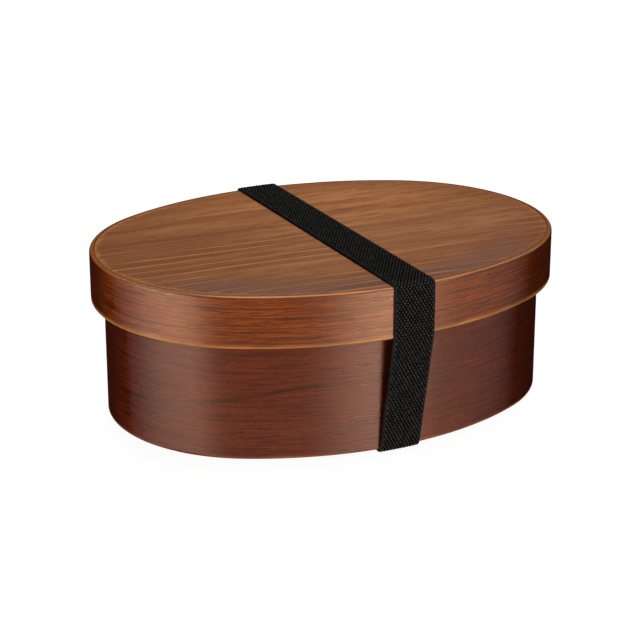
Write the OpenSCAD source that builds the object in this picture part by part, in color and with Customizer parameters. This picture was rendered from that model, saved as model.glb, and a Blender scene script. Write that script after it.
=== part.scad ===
// Oval bentwood lunch box: a bent wall with a set-in base, a covering lid, a loose divider
// and an elastic band. Millimetres, +Z up. The closed box stands on its band, so z = 0 is
// the underside of the band, below the middle of the box.

/* [Lid] */
// Length of the lid, over its rim
lid_l = 200; // [170:1:230]
// Width of the lid, over its rim
lid_w = 150; // [125:1:165]
// Height of the lid rim
lid_h = 21.5; // [16:0.5:36]
// Thickness of the strip that is bent into the rim
rim_t = 4.8; // [4:0.1:6]
// Width of the lip that the rim keeps round the lid board
lip_w = 1.8; // [1.5:0.1:2.4]
// Thickness of the lid board
lid_board_t = 4.5; // [3:0.1:6]

/* [Box] */
// Height of the closed box, from the foot of the wall to the top of the lid
closed_h = 70; // [55:1:100]
// Thickness of the strip that is bent into the wall
wall_t = 4.5; // [4:0.1:6]
// Gap that lets the lid slide over the wall
lid_gap = 0.6; // [0.4:0.1:1]
// Thickness of the base board
base_t = 5; // [3:0.1:8]
// Height of the base board's underside above the foot of the wall
base_rise = 1.5; // [1:0.1:4]
// Depth of the seat that is cut into the wall for the base board
base_seat = 2; // [1.2:0.1:2.4]

/* [Joinery] */
// Length of the glued scarf where each bent strip closes on itself
scarf_l = 40; // [25:1:60]
// Turn of the scarf from the middle of the back, in degrees
scarf_turn = 17; // [12:1:24]
// Thickness of the strip's ends at the scarf
nib = 0.8; // [0.4:0.1:1.2]
// Width of a glue line
glue = 0.1; // [0.05:0.05:0.2]
// Radius of the rounded edges
round_r = 1.2; // [0.8:0.1:1.4]
// Small chamfer along the edges of the boards
ease = 0.4; // [0.2:0.1:0.6]

/* [Divider] */
// Thickness of the divider
divider_t = 5; // [4:0.1:8]
// Distance of the divider's top below the top of the wall
divider_drop = 13; // [8:1:25]
// Distance of the divider from the middle of the box
divider_x = 22; // [12:1:32]
// Gap between the ends of the divider and the wall
divider_gap = 0.3; // [0.2:0.1:0.8]
// Radius of the divider's top corners
divider_r = 9; // [4:1:14]

/* [Band] */
// Width of the elastic band
band_w = 18; // [12:0.1:26]
// Thickness of the band
band_t = 1.2; // [0.8:0.1:1.8]
// Distance of the band from the middle of the box
band_x = 2.3; // [-8:0.1:8]
// Gap between the band and the sides that it passes
band_gap = 0.3; // [0.2:0.1:0.6]
// Length of the lap where the ends of the band are sewn together
lap_l = 16; // [10:1:20]
// Height of the lap above the foot of the wall
lap_rise = 5; // [3:1:8]
// Length of a stitch
stitch_l = 2; // [1.2:0.1:3]
// Gap between stitches
stitch_gap = 0.8; // [0.4:0.1:1.5]
// Thickness of the thread
thread_d = 0.6; // [0.4:0.1:0.9]
// Distance of the stitch rows from the edges of the lap
stitch_inset = 2.5; // [1.5:0.1:4]

/* [Hidden] */
$fn = 72;
dark_wood = "#7a4630";
lid_wood = "#94603f";
elastic = "#1c1b1c";

// The oval has four arcs. Their centres and the points where they meet lie on 8-15-17 right
// triangles of this unit, so every offset of the oval is made of arcs round the same centres.
unit = round(1000*(lid_l - lid_w)/12)/1000;
end_r = lid_l/2 - 8*unit;
side_r = end_r + 17*unit;
half_w = side_r - 15*unit;
wedge_n = ceil(lid_l/8);
end_wedge = [[8*unit, 0], [8*(unit + wedge_n), -15*wedge_n], [8*(unit + wedge_n), 15*wedge_n]];
side_wedge = [[8*unit, 0], [8*(unit + wedge_n), 15*wedge_n],
              [-8*(unit + wedge_n), 15*wedge_n], [-8*unit, 0]];

// Heights, from the underside of the band up
foot_z = band_t;
base_z = foot_z + base_rise;
floor_z = base_z + base_t;
lid_top = foot_z + closed_h;
rim_z = lid_top - lid_h;
wall_top = lid_top - lid_board_t;
over = 1;

// Distances in from the outer face of the lid rim
wall_inset = rim_t + lid_gap;
inside_inset = wall_inset + wall_t;

// The divider reaches down to the base board and out to the wall
divider_top = wall_top - divider_drop;
divider_arc = side_r - inside_inset - divider_gap;
divider_half = sqrt(pow(divider_arc, 2) - pow(abs(divider_x) - divider_t/2, 2)) - 15*unit;

// The inner face of the band in side view, as [y, z] corners at the back of the box: under
// the foot of the wall, at the lower edge of the lid rim and at its top
foot_corner = [half_w - wall_inset + band_gap, foot_z];
edge_corner = [half_w + band_gap, rim_z + round_r];
top_corner = [half_w + band_gap, lid_top];
bend_r = round_r + band_gap;
bend_n = 8;
run_l = norm(edge_corner - foot_corner);
run_dir = (edge_corner - foot_corner)/run_l;
run_tilt = atan2(run_dir[0], run_dir[1]);

// The halves of the band meet midway between the top of the lap and the lid rim
lap_top = lap_rise + lap_l;
meet = run_point((lap_top + run_l)/2, 0);
stitch_pitch = stitch_l + stitch_gap;
stitch_n = floor((band_w - 2*stitch_inset + stitch_gap)/stitch_pitch);

function front(p) = [-p[0], p[1]];
function left(d) = [-d[1], d[0]];
function heading(a, b) = (b - a)/norm(b - a);
function turned(v, angle) = [v[0]*cos(angle) - v[1]*sin(angle), v[0]*sin(angle) + v[1]*cos(angle)];

// A point on the back run of the band, s up from the foot and off the inner face
function run_point(s, off) = foot_corner + s*run_dir - off*left(run_dir);

// The points round the bend at corner b of a path a, b, c, off its inner face
function bend(a, b, c, off) =
    let (d = heading(a, b), turn = acos(d*heading(b, c)))
    let (centre = b - bend_r*tan(turn/2)*d - bend_r*left(d))
    [for (i = [0:bend_n]) centre + (bend_r + off)*turned(left(d), -turn*i/bend_n)];

// One face of the band along a path of corners, off its inner face
function face(path, off) =
    let (last = len(path) - 1)
    [path[0] + off*left(heading(path[0], path[1])),
     for (i = [1:last - 1]) each bend(path[i - 1], path[i], path[i + 1], off),
     path[last] + off*left(heading(path[last - 1], path[last]))];

// Turns a section round the oval. The section is drawn with $arc_r as the radius of the lid's
// outer face, and its upright axis is the section's y.
module round_oval() {
    for (turn = [0, 180]) rotate(turn) {
        intersection() {
            translate([8*unit, 0]) rotate_extrude() let ($arc_r = end_r) children();
            linear_extrude(lid_top + over) polygon(end_wedge);
        }
        intersection() {
            translate([0, -15*unit]) rotate_extrude() let ($arc_r = side_r) children();
            linear_extrude(lid_top + over) polygon(side_wedge);
        }
    }
}

// A bar section from x[0] to x[1] and z[0] to z[1] with four rounded corners
module bar(x, z, r) {
    polygon([[x[0] + r, z[0]], [x[1] - r, z[0]], [x[1], z[0] + r], [x[1], z[1] - r],
             [x[1] - r, z[1]], [x[0] + r, z[1]], [x[0], z[1] - r], [x[0], z[0] + r]]);
    for (cx = [x[0] + r, x[1] - r], cz = [z[0] + r, z[1] - r]) translate([cx, cz]) circle(r);
}

// An oval board with eased edges, at a distance in from the lid's outer face
module board(inset, z, t) {
    round_oval() translate([0, z]) polygon([
        [0, 0], [$arc_r - inset - ease, 0], [$arc_r - inset, ease],
        [$arc_r - inset, t - ease], [$arc_r - inset - ease, t], [0, t]]);
}

// The glue lines of the scarf where a strip of thickness t closes on itself: the scarf slants
// through the strip, and its two square-cut ends show as a line outside and a line inside
module scarf_lines(inset, t) {
    outer_r = side_r - inset;
    spread = scarf_l/outer_r*90/PI;
    translate([0, -15*unit]) rotate(-scarf_turn) {
        rotate(-spread) translate([0, outer_r - nib]) cube([glue, nib + over, lid_top + over]);
        rotate(spread) translate([0, outer_r - t - over]) cube([glue, nib + over, lid_top + over]);
    }
}

module box_wall() {
    color(dark_wood) difference() {
        round_oval() translate([$arc_r - wall_inset, 0]) difference() {
            bar([-wall_t, 0], [foot_z, wall_top], round_r);
            translate([-wall_t - over, foot_z - over]) square([base_seat + over, floor_z - foot_z + over]);
        }
        scarf_lines(wall_inset, wall_t);
    }
}

module base_board() {
    color(dark_wood) board(inside_inset - base_seat + glue, base_z, base_t);
}

module lid_rim() {
    color(lid_wood) difference() {
        round_oval() translate([$arc_r, 0]) difference() {
            bar([-rim_t, 0], [rim_z, lid_top], round_r);
            translate([-rim_t - over, wall_top]) square([rim_t - lip_w + over, lid_board_t + over]);
        }
        scarf_lines(0, rim_t);
    }
}

module lid_board() {
    color(lid_wood) board(lip_w + glue, wall_top, lid_board_t);
}

module divider() {
    color(dark_wood) intersection() {
        round_oval() square([$arc_r - inside_inset - divider_gap, divider_top]);
        rotate([90, 0, 0]) linear_extrude(lid_w, center = true)
            bar([divider_x - divider_t/2, divider_x + divider_t/2], [floor_z, divider_top], round_r);
        rotate([90, 0, 90]) linear_extrude(lid_l, center = true)
            bar([-divider_half, divider_half], [floor_z - 2*divider_r, divider_top], divider_r);
    }
}

// A stretch of webbing along a path of corners. Where it has a lap, the points of the lap
// follow the first point of its outer face.
module webbing(path, lap = []) {
    outer = face(path, band_t);
    inner = face(path, 0);
    translate([band_x - band_w/2, 0, 0]) rotate([90, 0, 90]) linear_extrude(band_w)
        polygon([outer[0], each lap, for (i = [1:len(outer) - 1]) outer[i],
                 for (i = [len(inner) - 1:-1:0]) inner[i]]);
}

module band_upper_half() {
    color(elastic) webbing([front(meet), front(edge_corner), front(top_corner),
                            top_corner, edge_corner, meet]);
}

module band_lower_half() {
    color(elastic) webbing([meet, foot_corner, front(foot_corner), front(meet)],
                           [run_point(lap_top, band_t), run_point(lap_top, 2*band_t),
                            run_point(lap_rise, 2*band_t), run_point(lap_rise, band_t)]);
}

// Two rows of half-round stitches on the outside of the lap
module band_stitching() {
    color(elastic) translate([band_x, foot_corner[0], foot_corner[1]]) rotate([-run_tilt, 0, 0])
        for (row = [lap_rise + stitch_inset, lap_top - stitch_inset], i = [0:stitch_n - 1])
            translate([(i - (stitch_n - 1)/2)*stitch_pitch - stitch_l/2, 2*band_t, row])
                rotate([90, 0, 90]) linear_extrude(stitch_l) intersection() {
                    circle(d = thread_d);
                    translate([0, -thread_d/2]) square(thread_d);
                }
}

box_wall();
base_board();
divider();
lid_rim();
lid_board();
band_upper_half();
band_lower_half();
band_stitching();
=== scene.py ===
"""Looks of an oval bentwood lunch box: the finish of its wood, its woven elastic band with the
sewn lap, and a plain studio with the camera at the reference angle. Metres, +Z up."""

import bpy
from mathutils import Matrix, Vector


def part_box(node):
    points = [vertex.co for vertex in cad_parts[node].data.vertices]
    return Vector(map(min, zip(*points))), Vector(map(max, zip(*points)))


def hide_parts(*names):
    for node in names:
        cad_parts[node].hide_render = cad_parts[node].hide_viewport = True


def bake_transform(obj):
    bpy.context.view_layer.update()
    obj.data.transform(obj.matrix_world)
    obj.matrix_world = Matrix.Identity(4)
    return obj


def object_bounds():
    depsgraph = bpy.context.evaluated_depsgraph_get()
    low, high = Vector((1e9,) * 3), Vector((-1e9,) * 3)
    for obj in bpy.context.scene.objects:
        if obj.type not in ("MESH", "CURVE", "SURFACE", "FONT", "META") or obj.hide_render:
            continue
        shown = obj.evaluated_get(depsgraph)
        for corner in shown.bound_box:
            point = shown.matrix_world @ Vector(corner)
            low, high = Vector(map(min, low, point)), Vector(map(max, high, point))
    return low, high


bl_info = {
    "name": "Bentwood Lunch Box",
    "version": (1, 0, 0),
    "blender": (4, 5, 0),
    "location": "View3D > Sidebar > Lunch Box",
    "description": "Finishes the wood of an oval lunch box, weaves its band and sets its stage",
    "category": "Object",
}

import math

import bpy
from bpy.props import FloatProperty, FloatVectorProperty, IntProperty, PointerProperty
from mathutils import Vector

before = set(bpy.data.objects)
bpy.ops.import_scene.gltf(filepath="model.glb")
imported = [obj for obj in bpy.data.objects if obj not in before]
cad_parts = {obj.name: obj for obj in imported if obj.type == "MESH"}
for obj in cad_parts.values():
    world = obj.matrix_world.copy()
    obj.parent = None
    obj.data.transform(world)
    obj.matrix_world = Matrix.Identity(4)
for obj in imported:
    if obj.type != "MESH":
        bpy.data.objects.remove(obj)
CAD_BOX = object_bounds()
MM = 0.001

# The places of the solids that the looks are worked out from
RIM_LOW, RIM_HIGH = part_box("lid_rim")
WALL_LOW, WALL_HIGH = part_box("box_wall")
BOARD_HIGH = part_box("lid_board")[1]
UPPER_LOW, UPPER_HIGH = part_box("band_upper_half")
STITCH_LOW, STITCH_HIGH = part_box("band_stitching")

# Gap between the band and the wood that it hugs, and the bend that it takes round the wood's edges
BAND_GAP = 0.05*MM
BAND_BEND = 1.2*MM

# The lid is an oval of four arcs. Their centres lie on right triangles with these sides, in units
TRIANGLE_RUN, TRIANGLE_RISE, TRIANGLE_SLOPE = 8, 15, 17
OVAL_UNIT = (RIM_HIGH.x - RIM_HIGH.y)/(TRIANGLE_RUN + TRIANGLE_RISE - TRIANGLE_SLOPE)
END_CENTRE = TRIANGLE_RUN*OVAL_UNIT
SIDE_CENTRE = TRIANGLE_RISE*OVAL_UNIT
END_RADIUS = RIM_HIGH.x - END_CENTRE
SIDE_RADIUS = RIM_HIGH.y + SIDE_CENTRE

# A normal that points along a bent strip by more than this share belongs to a cut end of it
CUT_END = 0.3

# Each lamp's name, its turn from +X and its height angle in degrees, its distance and its size
LAMPS = (
    ("left_strip", -174, 0, 0.9, (1.15, 0.06)),
    ("right_strip", -75, 0, 0.9, (0.65, 0.06)),
    ("top_lamp", 40, 78, 1.0, (0.8, 0.8)),
    ("back_lamp", 64, 30, 1.2, (1.2, 0.6)),
)
SENSOR_WIDTH = 36.0
FLOOR_REACH = 8.0


def srgb(red, green, blue):
    """A colour given as 0 to 255 in sRGB, as the linear values that sockets hold."""
    def linear(value):
        part = value/255
        return part/12.92 if part <= 0.04045 else ((part + 0.055)/1.055)**2.4
    return (linear(red), linear(green), linear(blue))


def colour(name, description, rgb):
    """A colour property with an sRGB default."""
    return FloatVectorProperty(name=name, description=description, subtype="COLOR", size=3,
                               min=0, max=1, default=srgb(*rgb))


def length(name, description, default):
    """A length property with a default in metres."""
    return FloatProperty(name=name, description=description, default=default, min=0,
                         unit="LENGTH", precision=5)


def location(name, description, default):
    """A point or reach in metres."""
    return FloatVectorProperty(name=name, description=description, default=default, unit="LENGTH")


def share(name, description, default):
    """A property from 0 to 1."""
    return FloatProperty(name=name, description=description, default=default, min=0, max=1,
                         subtype="FACTOR")


def power(name, description, default):
    """A lamp's power in watts."""
    return FloatProperty(name=name, description=description, default=default, min=0, unit="POWER")


def grain_runs(name, default):
    """How often the grain's dashes, fibres and pores follow each other."""
    return FloatVectorProperty(name=name, default=default, min=0,
                               description="Dashes, fibres and pores that follow on a metre")


class LidFinish(bpy.types.PropertyGroup):
    """Stain and gloss of the lid rim and the lid board"""
    rim_pale: colour("Rim pale wood", "Pale ground of the bent rim", (129, 60, 19))
    rim_middle: colour("Rim wood", "Main tone of the bent rim", (110, 45, 12))
    rim_deep: colour("Rim deep dashes", "Deep dashes of the bent rim", (77, 28, 10))
    rim_pore: colour("Rim pores", "Dark pores in the rim", (50, 18, 8))
    # Pale wood of the rim's worn lower edge. The same tone is the painted highlight along the top
    # of its upper edge.
    rim_wear_and_top_highlight: colour("Rim edge", "Worn wood along the edges of the rim", (186, 124, 66))
    # Paler tone on the top of the rim, partly worn wood and partly a painted highlight.
    rim_lip_wear_and_highlight: colour("Rim lip", "Flat top of the rim beside the board", (132, 77, 46))
    board_pale: colour("Board pale lines", "Pale lines between growth rings", (170, 116, 71))
    board_middle: colour("Board wood", "Main tone of the lid board", (150, 101, 73))
    board_deep: colour("Board deep wood", "Deep wood of the growth rings", (114, 68, 46))
    board_haze: colour("Board haze", "Dull stain near the front of the lid board", (112, 81, 72))
    board_edge: colour("Board edge", "Worn wood along the edge of the lid board", (172, 120, 60))
    board_gold: colour("Board gold", "Plain golden wood at the back of the lid board",
                       (166, 111, 71))
    rim_worn: length("Rim wear", "Width of the worn edges of the rim", 1.4*MM)
    rim_runs: grain_runs("Rim grain", (20, 190, 48))
    rim_contrast: share("Rim contrast", "How clearly the dark grain of the rim shows", 0.85)
    ring_pitch: length("Ring pitch", "Distance between growth rings of the board", 6.5*MM)
    patch_middle: location("Patch middle", "Middle of a darker patch on the lid board",
                           (-66*MM, 4*MM, 0))
    patch_reach: location("Patch reach", "Reach of the darker patch along and across the board",
                          (52*MM, 40*MM, 0))
    gloss: share("Gloss", "Strength of the lacquer's shine", 0.97)
    shine: colour("Shine", "Tint that the fibres give the shine", (255, 204, 166))
    roughness: share("Roughness", "Roughness of the satin lacquer", 0.36)


class BoxFinish(bpy.types.PropertyGroup):
    """Stain and gloss of the box wall, the base board and the divider"""
    pale: colour("Pale wood", "Pale ground of the box", (97, 37, 15))
    middle: colour("Wood", "Main tone of the box", (82, 29, 11))
    deep: colour("Deep wood", "Deep dashes of the box", (61, 20, 9))
    pore: colour("Pores", "Dark pores in the wall", (44, 15, 8))
    # Pale wood of the wall's worn lower edge and the boards' worn edges. The same tone is the
    # painted highlight along the top of the wall's upper edge.
    edge: colour("Edge", "Worn wood along the edges of the wall", (157, 91, 51))
    worn: length("Wear", "Width of the worn edges of the wall", 1.0*MM)
    runs: grain_runs("Grain", (30, 420, 64))
    contrast: share("Contrast", "How clearly the dark grain of the wall shows", 0.84)
    ring_pitch: length("Ring pitch", "Distance between growth rings of the base and divider", 8*MM)
    streak_height: length("Streak height", "Height of the dark streak where it levels out", 31*MM)
    streak_middle: FloatProperty(name="Streak middle", default=-10*MM, unit="LENGTH",
                                 description="Place along X where the streak levels out")
    streak_bow: FloatProperty(name="Streak bow", default=1.8,
                              description="How fast the streak falls away")
    streak_width: length("Streak width", "Half of the width over which the streak fades", 1.4*MM)
    gloss: share("Gloss", "Strength of the lacquer's shine", 0.72)
    shine: colour("Shine", "Tint that the fibres give the shine", (255, 206, 178))
    roughness: share("Roughness", "Roughness of the satin lacquer", 0.36)


class BandSizes(bpy.types.PropertyGroup):
    """Sizes and colours of the woven elastic band"""
    thickness: length("Thickness", "Thickness of the cloth, without its floats", 0.95*MM)
    selvage: length("Selvage", "Width of the smooth edge beside the floats", 1.2*MM)
    column_pitch: length("Column pitch", "Distance between columns of floats", 1.47*MM)
    row_pitch: length("Row pitch", "Distance between staggered rows of floats", 1.17*MM)
    float_length: length("Float length", "Length of a float along the band", 1.1*MM)
    float_width: length("Float width", "Width of a float", 0.85*MM)
    float_height: length("Float height", "Height of a float above the cloth", 0.2*MM)
    slant: length("Slant", "Sideways drift of the front run at its foot", 3*MM)
    seed: IntProperty(name="Seed", description="Seed of the floats' small differences", default=4)
    stitch_length: length("Stitch length", "Length of a stitch of the lap", 2*MM)
    stitch_gap: length("Stitch gap", "Gap between stitches of the lap", 0.8*MM)
    thread_width: length("Thread width", "Thickness of the sewing thread", 0.6*MM)
    cloth: colour("Cloth", "Ground of the weave", (18, 18, 17))
    edging: colour("Edging", "Yarn of the smooth edges", (39, 38, 37))
    # The floats are paler than the cloth, partly as the yarn's own tone and partly as painted
    # sheen.
    floats: colour("Floats", "Yarn of the floats", (65, 64, 62))
    thread: colour("Thread", "Sewing thread of the lap", (50, 49, 47))


class StageSettings(bpy.types.PropertyGroup):
    """Camera, lamps and floor"""
    azimuth: FloatProperty(name="Azimuth", description="Camera's turn round the box",
                           default=math.radians(-26.014), subtype="ANGLE")
    elevation: FloatProperty(name="Elevation", description="Camera's height angle",
                             default=math.radians(20.05), subtype="ANGLE")
    distance: length("Distance", "Distance of the camera from what it looks at", 834.9*MM)
    lens: FloatProperty(name="Lens", description="Focal length on a 36 mm sensor, in mm",
                        default=110.29, subtype="DISTANCE_CAMERA")
    target: location("Target", "Point that the camera looks at",
                     (-1.589*MM, 0.774*MM, 32.313*MM))
    floor: colour("Floor", "Grey of the floor under its white glow", (110, 110, 110))
    left_power: power("Left lamp", "Power of the left strip lamp", 7.2)
    right_power: power("Right lamp", "Power of the right strip lamp", 6.5)
    top_power: power("Top lamp", "Power of the lamp overhead", 7.2)
    back_power: power("Back lamp", "Power of the lamp behind the box", 9)
    ambient: share("Ambient", "Strength of the light from all round", 0.05)
    floor_glow: share("Floor glow", "White that the floor adds to what the camera sees", 0.95)


class LunchBox(bpy.types.PropertyGroup):
    """All settings of the lunch box"""
    lid: PointerProperty(type=LidFinish)
    box: PointerProperty(type=BoxFinish)
    band: PointerProperty(type=BandSizes)
    stage: PointerProperty(type=StageSettings)


# Shader and geometry node helpers

def put(tree, kind, inputs=None, **settings):
    """Adds a node. Its inputs are values or the sockets that feed them."""
    made = tree.nodes.new(kind)
    for name, value in settings.items():
        setattr(made, name, value)
    for key, value in (inputs or {}).items():
        if isinstance(value, bpy.types.NodeSocket):
            tree.links.new(value, made.inputs[key])
        else:
            made.inputs[key].default_value = value
    return made


def calc(tree, operation, *values):
    """The result of a Math node."""
    return put(tree, "ShaderNodeMath", dict(enumerate(values)), operation=operation).outputs[0]


def product(tree, first, *others):
    """All of the values multiplied."""
    for value in others:
        first = calc(tree, "MULTIPLY", first, value)
    return first


def vector_calc(tree, operation, *values, output="Vector"):
    """The result of a Vector Math node."""
    made = put(tree, "ShaderNodeVectorMath", dict(enumerate(values)), operation=operation)
    return made.outputs[output]


def scaled(tree, vector, factor):
    """A vector times one factor."""
    return put(tree, "ShaderNodeVectorMath", {0: vector, "Scale": factor},
               operation="SCALE").outputs["Vector"]


def parts_of(tree, vector):
    """The X, Y and Z of a vector, as sockets."""
    return put(tree, "ShaderNodeSeparateXYZ", {"Vector": vector}).outputs


def vector_of(tree, **parts):
    """A vector from the given X, Y or Z, with 0 for the rest."""
    return put(tree, "ShaderNodeCombineXYZ", parts).outputs["Vector"]


def ease(tree, value, low, high, out_low=0.0, out_high=1.0):
    """A value's smooth step from low to high."""
    made = put(tree, "ShaderNodeMapRange", {
        "Value": value, "From Min": low, "From Max": high, "To Min": out_low, "To Max": out_high,
    }, interpolation_type="SMOOTHSTEP")
    return made.outputs["Result"]


def mix(tree, amount, under, over, mode="MIX"):
    """A mix of two colours."""
    made = put(tree, "ShaderNodeMix", {0: amount, 6: under, 7: over},
               data_type="RGBA", blend_type=mode)
    return made.outputs[2]


def noise(tree, vector, scale, detail=2.0, rough=0.5):
    """The value of a Noise Texture."""
    return put(tree, "ShaderNodeTexNoise", {
        "Vector": vector, "Scale": scale, "Detail": detail, "Roughness": rough}).outputs["Fac"]


def long_noise(tree, vector, scale, detail=2.0, rough=0.5, shift=(0, 0, 0)):
    """Noise that is stretched by a scale for each axis."""
    stretched = put(tree, "ShaderNodeMapping", {
        "Vector": vector, "Location": shift, "Scale": scale})
    return noise(tree, stretched.outputs["Vector"], 1.0, detail, rough)


def solid(rgb):
    """A colour with full alpha."""
    return (*rgb, 1.0)


def new_material(name):
    """An empty node material and its tree."""
    material = bpy.data.materials.new(name)
    material.use_nodes = True
    material.node_tree.nodes.clear()
    return material, material.node_tree


def arc_of_oval(tree, place):
    """A place folded into the oval's first quarter, and 1 where the arc of its end is nearest."""
    folded = vector_calc(tree, "ABSOLUTE", vector_calc(tree, "MULTIPLY", place, (1, 1, 0)))
    parts = parts_of(tree, folded)
    past_end = product(tree, calc(tree, "SUBTRACT", parts["X"], END_CENTRE), TRIANGLE_RISE)
    return folded, calc(tree, "GREATER_THAN", past_end, product(tree, parts["Y"], TRIANGLE_RUN))


def swept_normal(tree, place):
    """The normal of a strip swept round the oval, without the facets' small turns along it. The
    cut ends of the strip keep their own."""
    normal = put(tree, "ShaderNodeNewGeometry").outputs["Normal"]
    folded, in_end = arc_of_oval(tree, place)
    centre = put(tree, "ShaderNodeMix", {0: in_end, 4: (0, -SIDE_CENTRE, 0), 5: (END_CENTRE, 0, 0)},
                 data_type="VECTOR").outputs[1]
    quarter = vector_calc(tree, "DIVIDE", place, vector_calc(tree, "ABSOLUTE", place))
    out = vector_calc(tree, "MULTIPLY", vector_calc(tree, "SUBTRACT", folded, centre), quarter)
    along = vector_calc(tree, "NORMALIZE", vector_calc(tree, "CROSS_PRODUCT", out, (0, 0, 1)))
    turned = vector_calc(tree, "DOT_PRODUCT", normal, along, output="Value")
    is_side = calc(tree, "LESS_THAN", calc(tree, "ABSOLUTE", turned), CUT_END)
    drop = scaled(tree, along, product(tree, turned, is_side))
    return vector_calc(tree, "NORMALIZE", vector_calc(tree, "SUBTRACT", normal, drop))


def wood_surface(tree, colours, roughness, height, depth, gloss, tint, fibre_axis, normal=None):
    """Wood under satin lacquer. The fibres under the lacquer tint its shine and spread it across
    themselves. It is strongest a little aslant, and fades where the surface is seen from the
    side. The fibres run round the axis."""
    given = {"Normal": normal} if normal else {}
    bump = put(tree, "ShaderNodeBump", {
        "Strength": 1.0, "Distance": depth, "Height": height, **given})
    fibres = put(tree, "ShaderNodeTangent", direction_type="RADIAL", axis=fibre_axis)
    # 0 where the surface is seen straight on, 1 where it is seen from the side
    facing = put(tree, "ShaderNodeLayerWeight", {"Blend": 0.5, **given}).outputs["Facing"]
    level = product(tree, ease(tree, facing, 0.04, 0.16, 0.4*gloss, gloss),
                    ease(tree, facing, 0.54, 0.1))
    surface = put(tree, "ShaderNodeBsdfPrincipled", {
        "Base Color": colours, "Roughness": roughness,
        "Specular IOR Level": level, "Specular Tint": solid(tint),
        "Anisotropic": 0.75, "Anisotropic Rotation": 0.25,
        "Normal": bump.outputs["Normal"], "Tangent": fibres.outputs["Tangent"]})
    put(tree, "ShaderNodeOutputMaterial", {"Surface": surface.outputs["BSDF"]})


def strip_grain(tree, runs):
    """Grain of a strip bent round the oval: dashes, fibres and pores that run level round it, and
    slow changes of tone. runs says how many dashes, fibres and pores follow on a metre."""
    dash_run, fibre_run, pore_run = runs
    wave = 2*MM
    place = put(tree, "ShaderNodeTexCoord").outputs["Object"]
    drift = calc(tree, "SUBTRACT", noise(tree, place, 22.0, 1.0), 0.5)
    waved = vector_calc(tree, "ADD", place, vector_of(tree, Z=product(tree, drift, wave)))
    dashes = long_noise(tree, waved, (dash_run, dash_run, 1400), rough=0.65, shift=(3, 1, 2))
    fibres = long_noise(tree, waved, (fibre_run, fibre_run, 1900), rough=0.6)
    pores = long_noise(tree, waved, (pore_run, pore_run, 1500), rough=0.7, shift=(7, 3, 5))
    pores = ease(tree, pores, 0.55, 0.65)
    clouds = long_noise(tree, place, (30, 30, 90), 3.0, 0.6)
    return place, dashes, fibres, pores, clouds


def dark_streak(tree, parts, clouds, streak):
    """How much of a dark line shows that runs up along the front of a strip and levels out."""
    height, middle, bow, width = streak
    off = calc(tree, "SUBTRACT", parts["X"], middle)
    line = calc(tree, "MULTIPLY_ADD", product(tree, off, off), -bow, height)
    line = calc(tree, "MULTIPLY_ADD", clouds, 3*MM, line)
    near = calc(tree, "ABSOLUTE", calc(tree, "SUBTRACT", parts["Z"], line))
    at_front = calc(tree, "LESS_THAN", parts["Y"], 0.0)
    return product(tree, ease(tree, near, width, 0.1*width),
                   ease(tree, clouds, 0.35, 0.6, 0.3, 0.95),
                   ease(tree, parts["X"], 10*MM, -10*MM), at_front)


def end_stain_and_painted_shade(tree, parts):
    """How dark a strip turns towards its right end and the back of its left end: partly deeper
    stain where it bends tightly, partly painted shade.
    """
    right = ease(tree, parts["X"], 34*MM, 76*MM)
    left = product(tree, ease(tree, parts["X"], -84*MM, -96*MM),
                   ease(tree, parts["Y"], -20*MM, 6*MM))
    return calc(tree, "MAXIMUM", left, right)


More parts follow.
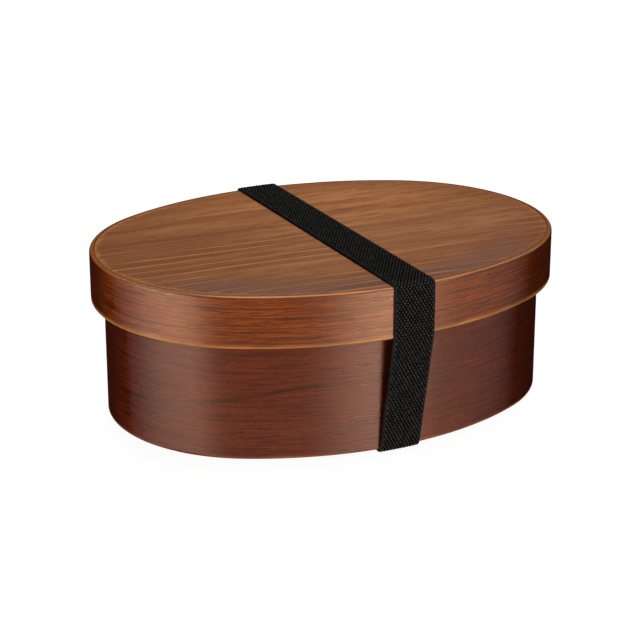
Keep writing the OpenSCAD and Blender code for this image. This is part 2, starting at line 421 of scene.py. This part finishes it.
def strip_wood(name, tones, span, worn_width, runs, contrast, surface, streak=None, lip=None):
    """Wood of a bent strip. span is the heights of its lower and upper edge. The lower edge is worn
    to a pale tone, and the same pale tone along the rounded top of the upper edge is a painted
    highlight. Its ends turn darker, partly from deeper stain and partly as painted shade. surface
    is the gloss, its tint and the roughness. A streak is the height, middle, bow and width of a
    dark line. A lip is the tone of the flat top, partly worn wood and partly a painted highlight."""
    material, tree = new_material(name)
    place, dashes, fibres, pores, clouds = strip_grain(tree, runs)
    parts = parts_of(tree, place)
    pale, middle, deep, pore, edge = (solid(tone) for tone in tones)
    wood = mix(tree, ease(tree, clouds, 0.3, 0.7), middle, pale)
    wood = mix(tree, ease(tree, dashes, 0.4, 0.51, contrast, 0.0), wood, deep)
    wood = mix(tree, ease(tree, dashes, 0.54, 0.66, 0.0, 0.6), wood, pale)
    wood = mix(tree, ease(tree, fibres, 0.46, 0.62, 0.0, 0.75*contrast), wood, deep)
    wood = mix(tree, product(tree, pores, contrast), wood, pore)
    if streak:
        wood = mix(tree, dark_streak(tree, parts, clouds, streak), wood, pore)
    # Painted shade, partly deeper stain: the strip darkens towards its right end and the back of
    # its left end.
    wood = mix(tree, product(tree, end_stain_and_painted_shade(tree, parts), 0.9), wood, pore)
    low, high = span
    # The paler tone on the topmost part of the strip is partly worn wood and partly a painted
    # highlight.
    if lip:
        wood = mix(tree, ease(tree, parts["Z"], high - 0.3*MM, high - 0.1*MM), wood, solid(lip))
    level = calc(tree, "MULTIPLY_ADD", clouds, -2*worn_width, parts["Z"])
    worn = ease(tree, level, low + 0.8*worn_width, low - 0.8*worn_width)
    from_middle = calc(tree, "ABSOLUTE", parts["X"])
    # Painted highlight: a thin pale line along the rounded top of the upper edge, strongest along
    # the sides of the oval. It takes the same pale tone as the worn lower edge.
    painted_top_highlight = product(tree, ease(tree, parts["Z"], high - 0.6*MM, high - 0.35*MM),
                    ease(tree, parts["Z"], high - 0.08*MM, high - 0.25*MM),
                    ease(tree, clouds, 0.3, 0.55, 0.4, 1.0),
                    ease(tree, from_middle, 96*MM, 50*MM, 0.35, 1.0))
    worn = calc(tree, "MAXIMUM", worn, painted_top_highlight)
    worn = product(tree, worn, ease(tree, dashes, 0.3, 0.6, 0.5, 0.9))
    wood = mix(tree, worn, wood, edge)
    gloss, tint, roughness = surface
    rough = ease(tree, fibres, 0.25, 0.75, roughness - 0.05, roughness + 0.05)
    relief = calc(tree, "SUBTRACT", product(tree, fibres, 0.5), pores)
    wood_surface(tree, wood, rough, relief, 0.03*MM, gloss, tint, "Z", swept_normal(tree, place))
    return material


def oval_depth(tree, place, inset):
    """How far a point lies inside the oval that is set in from the lid's outer face."""
    folded, in_end = arc_of_oval(tree, place)
    from_end = vector_calc(tree, "DISTANCE", folded, (END_CENTRE, 0, 0), output="Value")
    from_side = vector_calc(tree, "DISTANCE", folded, (0, -SIDE_CENTRE, 0), output="Value")
    end_depth = calc(tree, "SUBTRACT", END_RADIUS - inset, from_end)
    side_depth = calc(tree, "SUBTRACT", SIDE_RADIUS - inset, from_side)
    chosen = put(tree, "ShaderNodeMix", {0: in_end, 2: side_depth, 3: end_depth}, data_type="FLOAT")
    return chosen.outputs[0]


def ring_lines(tree, place, parts, pitch):
    """The pale lines between growth rings, which run a little aslant along X."""
    sway = long_noise(tree, place, (5, 16, 5))
    across = calc(tree, "MULTIPLY_ADD", parts["X"], 0.04, parts["Y"])
    ring = calc(tree, "MULTIPLY_ADD", sway, 2.4, calc(tree, "DIVIDE", across, pitch))
    turn = calc(tree, "FRACT", ring)
    clear = long_noise(tree, place, (13, 80, 13), shift=(2, 5, 1))
    main = product(tree, ease(tree, turn, 0.0, 0.12), ease(tree, turn, 0.36, 0.14),
                   ease(tree, clear, 0.36, 0.58, 0.1, 1.0))
    turn = calc(tree, "FRACT", product(tree, ring, 2.7))
    thin = product(tree, ease(tree, turn, 0.0, 0.25), ease(tree, turn, 0.6, 0.3),
                   ease(tree, clear, 0.6, 0.4, 0.0, 0.5))
    return calc(tree, "MAXIMUM", main, thin)


def board_wood(name, tones, pitch, inset, gloss, tint, roughness, patch=None):
    """Wood of a sawn board: plain and golden at the back, with growth rings at the front, and worn
    at its edge, which lies inset from the lid's outer face. A patch is the middle and the reach of
    a darker spot."""
    material, tree = new_material(name)
    place = put(tree, "ShaderNodeTexCoord").outputs["Object"]
    parts = parts_of(tree, place)
    pale, middle, deep, haze, edge, gold = (solid(tone) for tone in tones)
    streaks = long_noise(tree, place, (7, 110, 110), 3.0, 0.6)
    mottle = long_noise(tree, place, (80, 330, 80), 4.0, 0.7, (1, 7, 3))
    fibres = long_noise(tree, place, (90, 1500, 1500), rough=0.6)
    clouds = long_noise(tree, place, (12, 26, 12), shift=(9, 4, 0))
    drifted = calc(tree, "MULTIPLY_ADD", clouds, 36*MM, parts["Y"])
    wood = mix(tree, ease(tree, drifted, 18*MM, 46*MM), middle, gold)
    wood = mix(tree, ease(tree, clouds, 0.3, 0.6, 0.45, 0.0), wood, deep)
    wood = mix(tree, ease(tree, streaks, 0.36, 0.52, 0.55, 0.0), wood, deep)
    wood = mix(tree, ease(tree, streaks, 0.54, 0.68, 0.0, 0.6), wood, pale)
    wood = mix(tree, ease(tree, mottle, 0.35, 0.6, 0.5, 0.0), wood, deep)
    if patch:
        spot, reach = (Vector(value) for value in patch)
        from_spot = vector_calc(tree, "SUBTRACT", place, tuple(spot))
        in_reaches = vector_calc(tree, "MULTIPLY", from_spot, (1/reach.x, 1/reach.y, 0))
        far = vector_calc(tree, "LENGTH", in_reaches, output="Value")
        wood = mix(tree, ease(tree, far, 1.3, 0.1, 0.0, 0.7), wood, deep)
    depth = oval_depth(tree, place, inset)
    wood = mix(tree, ease(tree, depth, 24*MM, 1*MM, 0.0, 0.55), wood, deep)
    far_in = calc(tree, "MULTIPLY_ADD", clouds, 16*MM, depth)
    dull = product(tree, ease(tree, far_in, 32*MM, 14*MM, 0.0, 0.9),
                   ease(tree, parts["Y"], -24*MM, -42*MM), ease(tree, parts["X"], 80*MM, 50*MM))
    wood = mix(tree, dull, wood, haze)
    lines = product(tree, ring_lines(tree, place, parts, pitch),
                    ease(tree, drifted, 44*MM, 20*MM, 0.3, 1.0),
                    ease(tree, parts["X"], 80*MM, 0.0, 0.55, 0.95))
    wood = mix(tree, lines, wood, pale)
    wood = mix(tree, ease(tree, fibres, 0.45, 0.8, 0.0, 0.35), wood, deep)
    patches = long_noise(tree, place, (260, 600, 260), 3.0)
    worn_to = calc(tree, "MULTIPLY_ADD", patches, 9*MM, -3*MM)
    worn = ease(tree, calc(tree, "SUBTRACT", depth, worn_to), 0.9*MM, -0.6*MM, 0.0, 0.55)
    worn = product(tree, worn, ease(tree, parts["X"], -20*MM, -60*MM, 0.25, 1.0))
    wood = mix(tree, worn, wood, edge)
    rough = ease(tree, fibres, 0.25, 0.75, roughness - 0.05, roughness + 0.05)
    wood_surface(tree, wood, rough, fibres, 0.015*MM, gloss, tint, "Y")
    return material


def yarn(name, tone, roughness, edging=None):
    """Polyester yarn with fine filaments. Where the mesh says selvage, it has the edging's tone."""
    material, tree = new_material(name)
    place = put(tree, "ShaderNodeTexCoord").outputs["Object"]
    filaments = noise(tree, place, 5200.0, 2.0, 0.6)
    tuft = noise(tree, place, 700.0, 1.0)
    base = solid(tone)
    if edging:
        selvage = put(tree, "ShaderNodeAttribute", attribute_name="selvage").outputs["Fac"]
        base = mix(tree, selvage, solid(tone), solid(edging))
    dull = mix(tree, 1.0, base, (0.5, 0.5, 0.5, 1.0), "MULTIPLY")
    shade = mix(tree, ease(tree, tuft, 0.3, 0.7), dull, base)
    shade = mix(tree, ease(tree, filaments, 0.4, 0.8, 0.0, 0.5), shade, dull)
    bump = put(tree, "ShaderNodeBump", {"Strength": 0.5, "Distance": 0.05*MM, "Height": filaments})
    rough = ease(tree, filaments, 0.2, 0.8, roughness - 0.1, roughness + 0.1)
    surface = put(tree, "ShaderNodeBsdfPrincipled", {
        "Base Color": shade, "Roughness": rough, "Specular IOR Level": 0.0,
        "Normal": bump.outputs["Normal"]})
    put(tree, "ShaderNodeOutputMaterial", {"Surface": surface.outputs["BSDF"]})
    return material


# The band's path in side view

def sideways(y, z, slant):
    """How far the band has drifted sideways: nothing at the rim, all of it at the front foot."""
    if z > RIM_LOW.z:
        return 0.0
    down = (RIM_LOW.z - z)/(RIM_LOW.z - WALL_LOW.z)
    if y > -WALL_HIGH.y:
        return -slant*down*max(0.0, 0.5 - 0.5*y/WALL_HIGH.y)
    return -slant*down


def bent_path(corners, radius, closed):
    """Points along [y, z] corners with round bends, evenly close on the straight stretches."""
    step, step_angle = 1.5*MM, math.radians(8)
    points = []
    count = len(corners)
    for i in range(count):
        here = Vector(corners[i])
        if not closed and i in (0, count - 1):
            points.append(here)
            continue
        before = (here - Vector(corners[i - 1])).normalized()
        after = (Vector(corners[(i + 1) % count]) - here).normalized()
        turn = before.angle(after)
        trim = radius*math.tan(turn/2)
        inward = Vector((-before.y, before.x))
        centre = here - trim*before + radius*inward
        bends = max(2, round(turn/step_angle))
        for k in range(bends + 1):
            angle = turn*k/bends
            out = -inward*math.cos(angle) + before*math.sin(angle)
            points.append(centre + radius*out)
    dense = []
    last = len(points) if closed else len(points) - 1
    for i in range(last):
        start, end = points[i], points[(i + 1) % len(points)]
        pieces = max(1, round((end - start).length/step))
        dense += [start.lerp(end, k/pieces) for k in range(pieces)]
    return dense if closed else dense + [points[-1]]


def outward(points, i, closed):
    """The outward direction at a point of an anticlockwise path."""
    count = len(points)
    before = points[i - 1] if closed or i > 0 else points[i]
    after = points[(i + 1) % count] if closed or i < count - 1 else points[i]
    along = (after - before).normalized()
    return Vector((along.y, -along.x))


def band_corners(off):
    """Corners of the band's path, off the wood that it hugs, anticlockwise from the front foot."""
    foot = (WALL_HIGH.y + off, WALL_LOW.z - off)
    edge = (RIM_HIGH.y + off, RIM_LOW.z + BAND_BEND)
    top = (RIM_HIGH.y + off, RIM_HIGH.z + off)
    return [(-foot[0], foot[1]), foot, edge, top, (-top[0], top[1]), (-edge[0], edge[1])]


def lap_corners(off):
    """The lap of the band's ends on the back run, from its lower to its upper end. It reaches past
    the stitches by a quarter of their height."""
    foot, edge = (Vector(corner) for corner in band_corners(off)[1:3])
    past = (STITCH_HIGH.z - STITCH_LOW.z)/4
    heights = (STITCH_LOW.z - past, STITCH_HIGH.z + past)
    return [tuple(foot.lerp(edge, (z - foot.y)/(edge.y - foot.y))) for z in heights]


def hug(across, normal_y):
    """How far the cloth dips to follow the curve of the oval across its width."""
    return across*across/(2*SIDE_RADIUS)*abs(normal_y)


def ribbon(points, closed, middle_x, width, look):
    """Vertices, faces and selvage marks of cloth along a path of its outer face. Its section starts
    beside the selvage at +X and runs round the edge to the inner face and back."""
    half = width/2
    edge = look.thickness*0.5
    inner = half - look.selvage
    section = [(inner, 0.0, 0.0), (inner + 0.2*MM, 0.0, 1.0)]
    for k in range(7):
        angle = math.pi*(0.5 - k/6)
        section.append((half - edge + edge*math.cos(angle), edge*math.sin(angle) - edge, 1.0))
    section += [(half*part, -look.thickness, 0.0) for part in (0.6, 0.2)]
    section += [(-x, off, mark) for x, off, mark in reversed(section)]
    section += [(-half*part, 0.0, 0.0) for part in (0.6, 0.2, -0.2, -0.6)]
    verts, marks = [], []
    for i, point in enumerate(points):
        out = outward(points, i, closed)
        shift = sideways(point.x, point.y, look.slant)
        for across, off, mark in section:
            spot = point + out*(off - hug(across, out.x))
            verts.append((middle_x + shift + across, spot.x, spot.y))
            marks.append(mark)
    ring = len(section)
    count = len(points)
    faces = []
    for i in range(count if closed else count - 1):
        for k in range(ring):
            a, b = i*ring + k, i*ring + (k + 1) % ring
            c, d = (i + 1) % count*ring + (k + 1) % ring, (i + 1) % count*ring + k
            faces.append((a, b, c, d))
    if not closed:
        faces.append(tuple(range(ring - 1, -1, -1)))
        faces.append(tuple((count - 1)*ring + k for k in range(ring)))
    return verts, faces, marks


def mesh_object(name, verts, faces, material):
    """A smooth mesh object with one material."""
    mesh = bpy.data.meshes.new(name)
    mesh.from_pydata(verts, [], faces)
    if material:
        mesh.materials.append(material)
    mesh.validate()
    mesh.shade_smooth()
    made = bpy.data.objects.new(name, mesh)
    bpy.context.scene.collection.objects.link(made)
    return made


def tree_with(name, sockets, output):
    """A new geometry node tree with named inputs and one output."""
    tree = bpy.data.node_groups.new(name, "GeometryNodeTree")
    for label, kind in sockets:
        tree.interface.new_socket(label, in_out="INPUT", socket_type=kind)
    tree.interface.new_socket(output, in_out="OUTPUT", socket_type="NodeSocketGeometry")
    return tree, put(tree, "NodeGroupInput").outputs


def bead(tree, segments, rings):
    """A smooth ball of radius 1."""
    ball = put(tree, "GeometryNodeMeshUVSphere", {
        "Segments": segments, "Rings": rings, "Radius": 1.0})
    smooth = put(tree, "GeometryNodeSetShadeSmooth", {"Geometry": ball.outputs["Mesh"]})
    return smooth.outputs["Geometry"]


def laid_out(tree, points, shape, rotation, size, material, output):
    """Ends a tree: the shape on every point, made real, with its material."""
    copies = put(tree, "GeometryNodeInstanceOnPoints", {
        "Points": points, "Instance": shape, "Rotation": rotation, "Scale": size})
    real = put(tree, "GeometryNodeRealizeInstances", {"Geometry": copies.outputs["Instances"]})
    dressed = put(tree, "GeometryNodeSetMaterial", {
        "Geometry": real.outputs["Geometry"], "Material": material})
    put(tree, "NodeGroupOutput", {output: dressed.outputs["Geometry"]})


def varied(tree, size, low, high, seed):
    """A size with a random factor between low and high for each axis."""
    swell = put(tree, "FunctionNodeRandomValue", {"Min": low, "Max": high, "Seed": seed},
                data_type="FLOAT_VECTOR")
    return vector_calc(tree, "MULTIPLY", size, swell.outputs["Value"])


def weave_tree():
    """Geometry nodes that lay staggered floats along a path of the cloth's outer face."""
    tree, given = tree_with("woven_floats", (
        ("Path", "NodeSocketGeometry"), ("Columns", "NodeSocketInt"),
        ("Column Pitch", "NodeSocketFloat"), ("Row Pitch", "NodeSocketFloat"),
        ("Float Size", "NodeSocketVector"), ("Hug Radius", "NodeSocketFloat"),
        ("Seed", "NodeSocketInt"), ("Material", "NodeSocketMaterial")), "Floats")
    columns = given["Columns"]
    span = put(tree, "GeometryNodeCurveLength", {"Curve": given["Path"]}).outputs["Length"]
    pairs = calc(tree, "DIVIDE", span, product(tree, given["Row Pitch"], 2.0))
    rows = product(tree, calc(tree, "ROUND", pairs), 2.0)
    points = put(tree, "GeometryNodePoints", {"Count": product(tree, columns, rows)})
    index = put(tree, "GeometryNodeInputIndex").outputs["Index"]
    row = calc(tree, "FLOOR", calc(tree, "DIVIDE", calc(tree, "ADD", index, 0.5), columns))
    column = calc(tree, "SUBTRACT", index, product(tree, row, columns))
    middle = calc(tree, "SUBTRACT", calc(tree, "DIVIDE", columns, 2.0), 0.25)
    shift = product(tree, calc(tree, "MODULO", row, 2.0), 0.5)
    step = calc(tree, "ADD", calc(tree, "SUBTRACT", column, middle), shift)
    across = product(tree, step, given["Column Pitch"])
    sample = put(tree, "GeometryNodeSampleCurve", {
        "Curves": given["Path"],
        "Factor": calc(tree, "DIVIDE", calc(tree, "ADD", row, 0.5), rows)}, mode="FACTOR")
    along = sample.outputs["Tangent"]
    out = vector_calc(tree, "NORMALIZE", vector_calc(tree, "CROSS_PRODUCT", along, (1.0, 0.0, 0.0)))
    lean = calc(tree, "ABSOLUTE", parts_of(tree, out)["Y"])
    bow = calc(tree, "DIVIDE", product(tree, across, across),
               product(tree, given["Hug Radius"], -2.0))
    beside = vector_calc(tree, "ADD", sample.outputs["Position"], vector_of(tree, X=across))
    place = vector_calc(tree, "ADD", beside, scaled(tree, out, product(tree, lean, bow)))
    laid = put(tree, "GeometryNodeSetPosition", {
        "Geometry": points.outputs["Geometry"], "Position": place}).outputs["Geometry"]
    turn = put(tree, "FunctionNodeAxesToRotation", {
        "Primary Axis": out, "Secondary Axis": along}, primary_axis="Z", secondary_axis="Y")
    size = varied(tree, given["Float Size"], (0.88, 0.88, 0.8), (1.08, 1.08, 1.15), given["Seed"])
    laid_out(tree, laid, bead(tree, 8, 3), turn.outputs["Rotation"], size, given["Material"],
             "Floats")
    return tree


def stitch_tree():
    """Geometry nodes that sew rows of stitches along X, one row through each point of a mesh."""
    tree, given = tree_with("lap_stitches", (
        ("Rows", "NodeSocketGeometry"), ("Stitches", "NodeSocketInt"),
        ("Pitch", "NodeSocketFloat"), ("Stitch Size", "NodeSocketVector"),
        ("Tilt", "NodeSocketFloat"), ("Seed", "NodeSocketInt"),
        ("Material", "NodeSocketMaterial")), "Seam")
    gaps = calc(tree, "SUBTRACT", given["Stitches"], 1.0)
    row = put(tree, "GeometryNodeMeshLine", {
        "Count": given["Stitches"],
        "Start Location": vector_of(tree, X=product(tree, gaps, -0.5, given["Pitch"])),
        "Offset": vector_of(tree, X=given["Pitch"])})
    rows = put(tree, "GeometryNodeInstanceOnPoints", {
        "Points": given["Rows"], "Instance": row.outputs["Mesh"]}).outputs["Instances"]
    spots = put(tree, "GeometryNodeRealizeInstances", {"Geometry": rows}).outputs["Geometry"]
    lean = put(tree, "FunctionNodeRandomValue", {
        "Min": (0.0, -0.03, -0.03), "Max": (0.0, 0.03, 0.03), "Seed": given["Seed"]},
        data_type="FLOAT_VECTOR").outputs["Value"]
    tilted = vector_calc(tree, "ADD", vector_of(tree, X=given["Tilt"]), lean)
    turn = put(tree, "FunctionNodeEulerToRotation", {"Euler": tilted})
    size = varied(tree, given["Stitch Size"], (0.94, 0.9, 0.9), (1.0, 1.0, 1.0), given["Seed"])
    laid_out(tree, spots, bead(tree, 8, 6), turn.outputs["Rotation"], size, given["Material"],
             "Seam")
    return tree


def path_curve(name, points, closed, middle_x, slant):
    """A poly curve along a path of [y, z] points."""
    curve = bpy.data.curves.new(name, "CURVE")
    curve.dimensions = "3D"
    spline = curve.splines.new("POLY")
    spline.points.add(len(points) - 1)
    for spot, point in zip(spline.points, points):
        spot.co = (middle_x + sideways(point.x, point.y, slant), point.x, point.y, 1.0)
    spline.use_cyclic_u = closed
    made = bpy.data.objects.new(name, curve)
    bpy.context.scene.collection.objects.link(made)
    return made


def grown(source, tree, values):
    """The plain mesh that a geometry node tree makes from an object, which is then removed."""
    modifier = source.modifiers.new(tree.name, "NODES")
    modifier.node_group = tree
    for item in tree.interface.items_tree:
        if item.item_type == "SOCKET" and item.in_out == "INPUT" and item.name in values:
            modifier[item.identifier] = values[item.name]
    seen = source.evaluated_get(bpy.context.evaluated_depsgraph_get())
    mesh = bpy.data.meshes.new_from_object(seen)
    source.modifiers.remove(modifier)
    bpy.data.objects.remove(source)
    return mesh


def joined(name, parts, material):
    """One object from several lists of vertices and faces."""
    verts, faces = [], []
    for part_verts, part_faces in parts:
        start = len(verts)
        verts += part_verts
        faces += [[start + v for v in face] for face in part_faces]
    return mesh_object(name, verts, faces, material)


def lists(mesh):
    """The vertices and faces of a mesh as lists."""
    verts = [vertex.co.copy() for vertex in mesh.vertices]
    return verts, [face.vertices[:] for face in mesh.polygons]


def across_the_stretch(piece):
    """Bakes the placement of a piece of the band into its mesh."""
    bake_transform(piece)


def dress(node, material):
    """Gives a solid its finish."""
    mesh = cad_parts[node].data
    mesh.materials.clear()
    mesh.materials.append(material)


# One operator for each piece or group of like pieces

class LUNCHBOX_OT_finish_lid(bpy.types.Operator):
    """Finishes the bent rim and the board of the lid"""
    bl_idname = "lunchbox.finish_lid"
    bl_label = "Finish Lid"

    def execute(self, context):
        look = context.scene.lunchbox.lid
        rim = strip_wood("lid_rim_wood", (look.rim_pale, look.rim_middle, look.rim_deep,
                                          look.rim_pore, look.rim_wear_and_top_highlight),
                         (RIM_LOW.z, RIM_HIGH.z), look.rim_worn, look.rim_runs, look.rim_contrast,
                         (look.gloss, look.shine, look.roughness), lip=look.rim_lip_wear_and_highlight)
        board = board_wood("lid_board_wood", (look.board_pale, look.board_middle, look.board_deep,
                                              look.board_haze, look.board_edge, look.board_gold),
                           look.ring_pitch, RIM_HIGH.x - BOARD_HIGH.x, look.gloss, look.shine,
                           look.roughness, (look.patch_middle, look.patch_reach))
        dress("lid_rim", rim)
        dress("lid_board", board)
        return {"FINISHED"}


class LUNCHBOX_OT_finish_box(bpy.types.Operator):
    """Finishes the bent wall, the base board and the divider"""
    bl_idname = "lunchbox.finish_box"
    bl_label = "Finish Box"

    def execute(self, context):
        look = context.scene.lunchbox.box
        wall = strip_wood("box_wall_wood", (look.pale, look.middle, look.deep, look.pore,
                                            look.edge),
                          (WALL_LOW.z, WALL_HIGH.z), look.worn, look.runs, look.contrast,
                          (look.gloss, look.shine, look.roughness),
                          (look.streak_height, look.streak_middle, look.streak_bow,
                           look.streak_width))
        inner = board_wood("box_board_wood", (look.pale, look.middle, look.deep, look.deep,
                                              look.edge, look.middle),
                           look.ring_pitch, RIM_HIGH.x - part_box("base_board")[1].x, look.gloss,
                           look.shine, look.roughness)
        dress("box_wall", wall)
        dress("base_board", inner)
        dress("divider", inner)
        return {"FINISHED"}


def band_paths(look):
    """The outer face of the band as a closed path, and that of the lap of its ends."""
    outer = BAND_GAP + look.thickness
    lap_outer = outer + look.float_height + look.thickness
    bend = BAND_BEND + outer
    loop = bent_path(band_corners(outer), bend, True)
    lap = bent_path(lap_corners(lap_outer), bend, False)
    return (loop, True), (lap, False)


class LUNCHBOX_OT_weave_band(bpy.types.Operator):
    """Weaves the elastic band with its floats, its selvages and the lap of its ends"""
    bl_idname = "lunchbox.weave_band"
    bl_label = "Weave Band"

    def execute(self, context):
        look = context.scene.lunchbox.band
        middle_x = (UPPER_LOW.x + UPPER_HIGH.x)/2
        width = UPPER_HIGH.x - UPPER_LOW.x
        paths = band_paths(look)
        cloth = yarn("band_cloth", look.cloth, 0.85, look.edging)
        ribbons = [ribbon(points, closed, middle_x, width, look) for points, closed in paths]
        band = joined("elastic_band", [(verts, faces) for verts, faces, marks in ribbons], cloth)
        selvage = band.data.attributes.new("selvage", "FLOAT", "POINT")
        all_marks = [mark for verts, faces, marks in ribbons for mark in marks]
        selvage.data.foreach_set("value", all_marks)
        across_the_stretch(band)
        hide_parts("band_upper_half", "band_lower_half")

        columns = int((width - 2*look.selvage)/look.column_pitch - 0.5) + 1
        # The floats' yarn tone includes painted sheen.
        values = {"Columns": columns, "Column Pitch": look.column_pitch,
                  "Row Pitch": look.row_pitch,
                  "Float Size": (look.float_width/2, look.float_length/2, look.float_height),
                  "Hug Radius": SIDE_RADIUS, "Seed": look.seed,
                  "Material": yarn("band_floats", look.floats, 0.75)}
        tree = weave_tree()
        curves = [path_curve("float_path", points, closed, middle_x, look.slant)
                  for points, closed in paths]
        weaves = [lists(grown(curve, tree, values)) for curve in curves]
        floats = joined("band_floats", weaves, values["Material"])
        across_the_stretch(floats)
        return {"FINISHED"}


class LUNCHBOX_OT_sew_lap(bpy.types.Operator):
    """Sews the two rows of stitches through the lap of the band"""
    bl_idname = "lunchbox.sew_lap"
    bl_label = "Sew Lap"

    def execute(self, context):
        look = context.scene.lunchbox.band
        middle_x = (STITCH_LOW.x + STITCH_HIGH.x)/2
        pitch = look.stitch_length + look.stitch_gap
        count = round((STITCH_HIGH.x - STITCH_LOW.x + look.stitch_gap)/pitch)
        lap = band_paths(look)[1][0]
        low, high = lap[0], lap[-1]
        heights = (STITCH_LOW.z + look.thread_width/2, STITCH_HIGH.z - look.thread_width/2)
        spots = [low.lerp(high, (z - low.y)/(high.y - low.y)) for z in heights]
        rows = mesh_object("stitch_rows", [(0, spot.x, spot.y) for spot in spots], [], None)
        lean = math.atan2(high.x - low.x, high.y - low.y)
        # A stitch's half sizes are a little large, so that its rounded ends reach the full length
        values = {"Stitches": count, "Pitch": pitch, "Tilt": -lean, "Seed": look.seed,
                  "Stitch Size": (0.55*look.stitch_length, 0.6*look.thread_width,
                                  0.6*look.thread_width),
                  "Material": yarn("sewing_thread", look.thread, 0.6)}
        verts, faces = lists(grown(rows, stitch_tree(), values))
        for spot in verts:
            spot.x += middle_x + sideways(spot.y, spot.z, look.slant)
        seam = mesh_object("lap_stitches", verts, faces, values["Material"])
        across_the_stretch(seam)
        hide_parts("band_stitching")
        return {"FINISHED"}


class LUNCHBOX_OT_set_stage(bpy.types.Operator):
    """Sets the floor, the lamps and the camera"""
    bl_idname = "lunchbox.set_stage"
    bl_label = "Set Stage"

    def execute(self, context):
        look = context.scene.lunchbox.stage
        lay_floor(look)
        hang_lamps(look)
        light_world(look)
        aim_camera(look)
        context.scene.view_settings.view_transform = "Standard"
        return {"FINISHED"}


def seen_rays(tree):
    """1 for the rays that show the background: the camera's, and those mirrored or let through."""
    path = put(tree, "ShaderNodeLightPath").outputs
    seen = calc(tree, "MAXIMUM", path["Is Camera Ray"], path["Is Glossy Ray"])
    return calc(tree, "MAXIMUM", seen, path["Is Transmission Ray"])


def lay_floor(look):
    """A wide pale floor that looks white where no shadow lies on it."""
    material, tree = new_material("pale_floor")
    pale = put(tree, "ShaderNodeBsdfDiffuse", {"Color": solid(look.floor)})
    glow = put(tree, "ShaderNodeEmission", {
        "Strength": product(tree, seen_rays(tree), look.floor_glow)})
    both = put(tree, "ShaderNodeAddShader", {0: pale.outputs["BSDF"], 1: glow.outputs["Emission"]})
    put(tree, "ShaderNodeOutputMaterial", {"Surface": both.outputs["Shader"]})
    corners = [(FLOOR_REACH*x, FLOOR_REACH*y, 0) for x, y in ((-1, -1), (1, -1), (1, 1), (-1, 1))]
    mesh_object("floor", corners, [(0, 1, 2, 3)], material)


def hang_lamp(name, azimuth, elevation, distance, size, watts):
    """An oval lamp that faces the middle of the box."""
    lamp = bpy.data.lights.new(name, "AREA")
    lamp.shape = "ELLIPSE"
    lamp.size, lamp.size_y = size
    lamp.energy = watts
    made = bpy.data.objects.new(name, lamp)
    flat = math.cos(elevation)
    back = Vector((math.cos(azimuth)*flat, math.sin(azimuth)*flat, math.sin(elevation)))
    middle = (CAD_BOX[0] + CAD_BOX[1])/2
    made.location = middle + back*distance
    made.rotation_euler = back.to_track_quat("Z", "Y").to_euler()
    made.visible_camera = False
    bpy.context.scene.collection.objects.link(made)


def hang_lamps(look):
    """A strip lamp on either side of the camera, a wide one overhead and a soft one behind."""
    powers = (look.left_power, look.right_power, look.top_power, look.back_power)
    for (name, turn, rise, distance, size), watts in zip(LAMPS, powers):
        hang_lamp(name, math.radians(turn), math.radians(rise), distance, size, watts)


def light_world(look):
    """White behind everything, and a low light from all round."""
    world = bpy.data.worlds.new("studio")
    world.use_nodes = True
    tree = world.node_tree
    tree.nodes.clear()
    strength = calc(tree, "MAXIMUM", seen_rays(tree), look.ambient)
    shine = put(tree, "ShaderNodeBackground", {"Color": (1, 1, 1, 1), "Strength": strength})
    put(tree, "ShaderNodeOutputWorld", {"Surface": shine.outputs["Background"]})
    bpy.context.scene.world = world


def aim_camera(look):
    """The camera at the reference angle. The image is square."""
    camera = bpy.data.cameras.new("camera")
    camera.sensor_width = SENSOR_WIDTH
    camera.lens = look.lens
    made = bpy.data.objects.new("camera", camera)
    flat = math.cos(look.elevation)
    back = Vector((math.sin(look.azimuth)*flat, -math.cos(look.azimuth)*flat,
                   math.sin(look.elevation)))
    made.location = Vector(look.target) + back*look.distance
    made.rotation_mode = "QUATERNION"
    made.rotation_quaternion = (-back).to_track_quat("-Z", "Y")
    bpy.context.scene.collection.objects.link(made)
    bpy.context.scene.camera = made


class LUNCHBOX_PT_panel(bpy.types.Panel):
    """Lists the steps that dress the lunch box"""
    bl_idname = "LUNCHBOX_PT_panel"
    bl_label = "Lunch Box"
    bl_space_type = "VIEW_3D"
    bl_region_type = "UI"
    bl_category = "Lunch Box"

    def draw(self, context):
        for step in STEPS:
            self.layout.operator(step.bl_idname)


STEPS = (LUNCHBOX_OT_finish_lid, LUNCHBOX_OT_finish_box, LUNCHBOX_OT_weave_band,
         LUNCHBOX_OT_sew_lap, LUNCHBOX_OT_set_stage)
CLASSES = (LidFinish, BoxFinish, BandSizes, StageSettings, LunchBox, *STEPS, LUNCHBOX_PT_panel)


def register():
    for kind in CLASSES:
        bpy.utils.register_class(kind)
    bpy.types.Scene.lunchbox = PointerProperty(type=LunchBox)


def unregister():
    del bpy.types.Scene.lunchbox
    for kind in reversed(CLASSES):
        bpy.utils.unregister_class(kind)


def main():
    register()
    bpy.ops.lunchbox.finish_lid()
    bpy.ops.lunchbox.finish_box()
    bpy.ops.lunchbox.weave_band()
    bpy.ops.lunchbox.sew_lap()
    bpy.ops.lunchbox.set_stage()
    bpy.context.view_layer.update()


if __name__ == "__main__":
    main()
